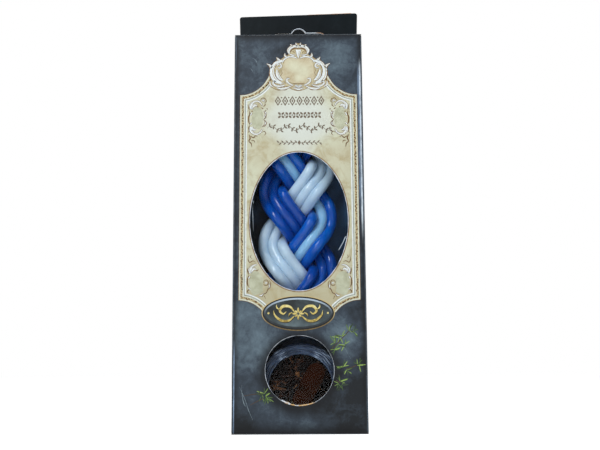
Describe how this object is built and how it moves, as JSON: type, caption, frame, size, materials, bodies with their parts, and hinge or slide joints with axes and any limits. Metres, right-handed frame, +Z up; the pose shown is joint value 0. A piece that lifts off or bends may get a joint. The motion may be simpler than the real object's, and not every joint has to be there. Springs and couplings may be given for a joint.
{
  "type": "havdalah candle",
  "caption": "Plaited blue and white havdalah candle over a clear pot of cloves, boxed in a slate carton with windows, tuck lids and a hanging tab.",
  "frame": {"origin": "middle of the carton's foot, on the surface it stands on", "axes": "+Z up along the plait and the carton, -Y out through the windows, +X to the right seen from the front"},
  "size_m": [0.0722, 0.036, 0.2495],
  "materials": {
    "front_print": "offset print, satin",
    "slate_print": "offset print, satin",
    "clear_film": "clear glossy film",
    "tray_board": "dark print, matt",
    "blue_wax": "glossy dyed wax",
    "pale_blue_wax": "glossy dyed wax",
    "white_wax": "glossy white wax",
    "dark_blue_wax": "glossy dyed wax",
    "wick_cotton": "waxed cotton",
    "clear_plastic": "clear moulded polystyrene",
    "brown_label": "coated paper",
    "clove": "dried clove, matt"
  },
  "bodies": {
    "carton": {"front_panel": "front_print", "left_side": "slate_print", "right_side": "slate_print", "back_panel": "slate_print", "hanging_panel": "slate_print", "window_film": "clear_film", "tray_back": "tray_board", "tray_left_wall": "tray_board", "tray_right_wall": "tray_board", "tray_shelf": "tray_board"},
    "slot_flap": {"slot_flap": "slate_print"},
    "candle": {"sky_left_taper": "blue_wax", "pale_sky_taper": "pale_blue_wax", "sky_right_taper": "blue_wax", "white_left_taper": "white_wax", "white_middle_taper": "white_wax", "white_right_taper": "white_wax", "navy_left_taper": "dark_blue_wax", "navy_middle_taper": "dark_blue_wax", "navy_right_taper": "dark_blue_wax", "sky_left_wick": "wick_cotton", "pale_sky_wick": "wick_cotton", "sky_right_wick": "wick_cotton", "white_left_wick": "wick_cotton", "white_middle_wick": "wick_cotton", "white_right_wick": "wick_cotton", "navy_left_wick": "wick_cotton", "navy_middle_wick": "wick_cotton", "navy_right_wick": "wick_cotton"},
    "pot": {"pot_cup": "clear_plastic", "cloves": "clove"},
    "pot_lid": {"pot_lid": "clear_plastic", "pot_label": "brown_label"},
    "top_lid": {"top_lid": "slate_print"},
    "top_tongue": {"top_tongue": "slate_print"},
    "top_dust_flap_left": {"top_dust_flap_left": "slate_print"},
    "top_dust_flap_right": {"top_dust_flap_right": "slate_print"},
    "bottom_lid": {"bottom_lid": "slate_print"},
    "bottom_tongue": {"bottom_tongue": "slate_print"},
    "bottom_dust_flap_left": {"bottom_dust_flap_left": "slate_print"},
    "bottom_dust_flap_right": {"bottom_dust_flap_right": "slate_print"}
  },
  "joints": [
    {"name": "slot_flap_fold", "type": "hinge", "parent": "carton", "child": "slot_flap", "pos_m": [0, 0.01775, 0.2307], "axis": [-1, 0, 0], "range_deg": [0, 85]},
    {"name": "candle_lift", "type": "slide", "parent": "carton", "child": "candle", "axis": [0, 0, 1], "range_m": [0, 0.004]},
    {"name": "pot_roll", "type": "hinge", "parent": "carton", "child": "pot", "pos_m": [0.0005, 0, 0.02435], "axis": [0, 1, 0], "continuous": true},
    {"name": "pot_lid_pull", "type": "slide", "parent": "pot", "child": "pot_lid", "axis": [0, -1, 0], "range_m": [0, 0.004]},
    {"name": "top_lid_fold", "type": "hinge", "parent": "carton", "child": "top_lid", "pos_m": [0, -0.01775, 0.22075], "axis": [1, 0, 0], "range_deg": [0, 180]},
    {"name": "top_tongue_fold", "type": "hinge", "parent": "top_lid", "child": "top_tongue", "pos_m": [0, 0.01665, 0.22075], "axis": [1, 0, 0], "range_deg": [0, 72]},
    {"name": "top_dust_flap_left_fold", "type": "hinge", "parent": "carton", "child": "top_dust_flap_left", "pos_m": [-0.03575, 0, 0.2202], "axis": [0, -1, 0], "range_deg": [0, 90]},
    {"name": "top_dust_flap_right_fold", "type": "hinge", "parent": "carton", "child": "top_dust_flap_right", "pos_m": [0.03575, 0, 0.2202], "axis": [0, 1, 0], "range_deg": [0, 90]},
    {"name": "bottom_lid_fold", "type": "hinge", "parent": "carton", "child": "bottom_lid", "pos_m": [0, -0.01775, 0.00025], "axis": [-1, 0, 0], "range_deg": [0, 180]},
    {"name": "bottom_tongue_fold", "type": "hinge", "parent": "bottom_lid", "child": "bottom_tongue", "pos_m": [0, 0.01665, 0.00025], "axis": [-1, 0, 0], "range_deg": [0, 72]},
    {"name": "bottom_dust_flap_left_fold", "type": "hinge", "parent": "carton", "child": "bottom_dust_flap_left", "pos_m": [-0.03575, 0, 0.0008], "axis": [0, 1, 0], "range_deg": [0, 90]},
    {"name": "bottom_dust_flap_right_fold", "type": "hinge", "parent": "carton", "child": "bottom_dust_flap_right", "pos_m": [0.03575, 0, 0.0008], "axis": [0, -1, 0], "range_deg": [0, 90]}
  ],
  "couplings": [
    {"joint": "top_tongue_fold", "follows": "top_lid_fold", "ratio": 0.4},
    {"joint": "top_dust_flap_left_fold", "follows": "top_lid_fold", "ratio": 0.5},
    {"joint": "top_dust_flap_right_fold", "follows": "top_lid_fold", "ratio": 0.5},
    {"joint": "bottom_tongue_fold", "follows": "bottom_lid_fold", "ratio": 0.4},
    {"joint": "bottom_dust_flap_left_fold", "follows": "bottom_lid_fold", "ratio": 0.5},
    {"joint": "bottom_dust_flap_right_fold", "follows": "bottom_lid_fold", "ratio": 0.5}
  ]
}
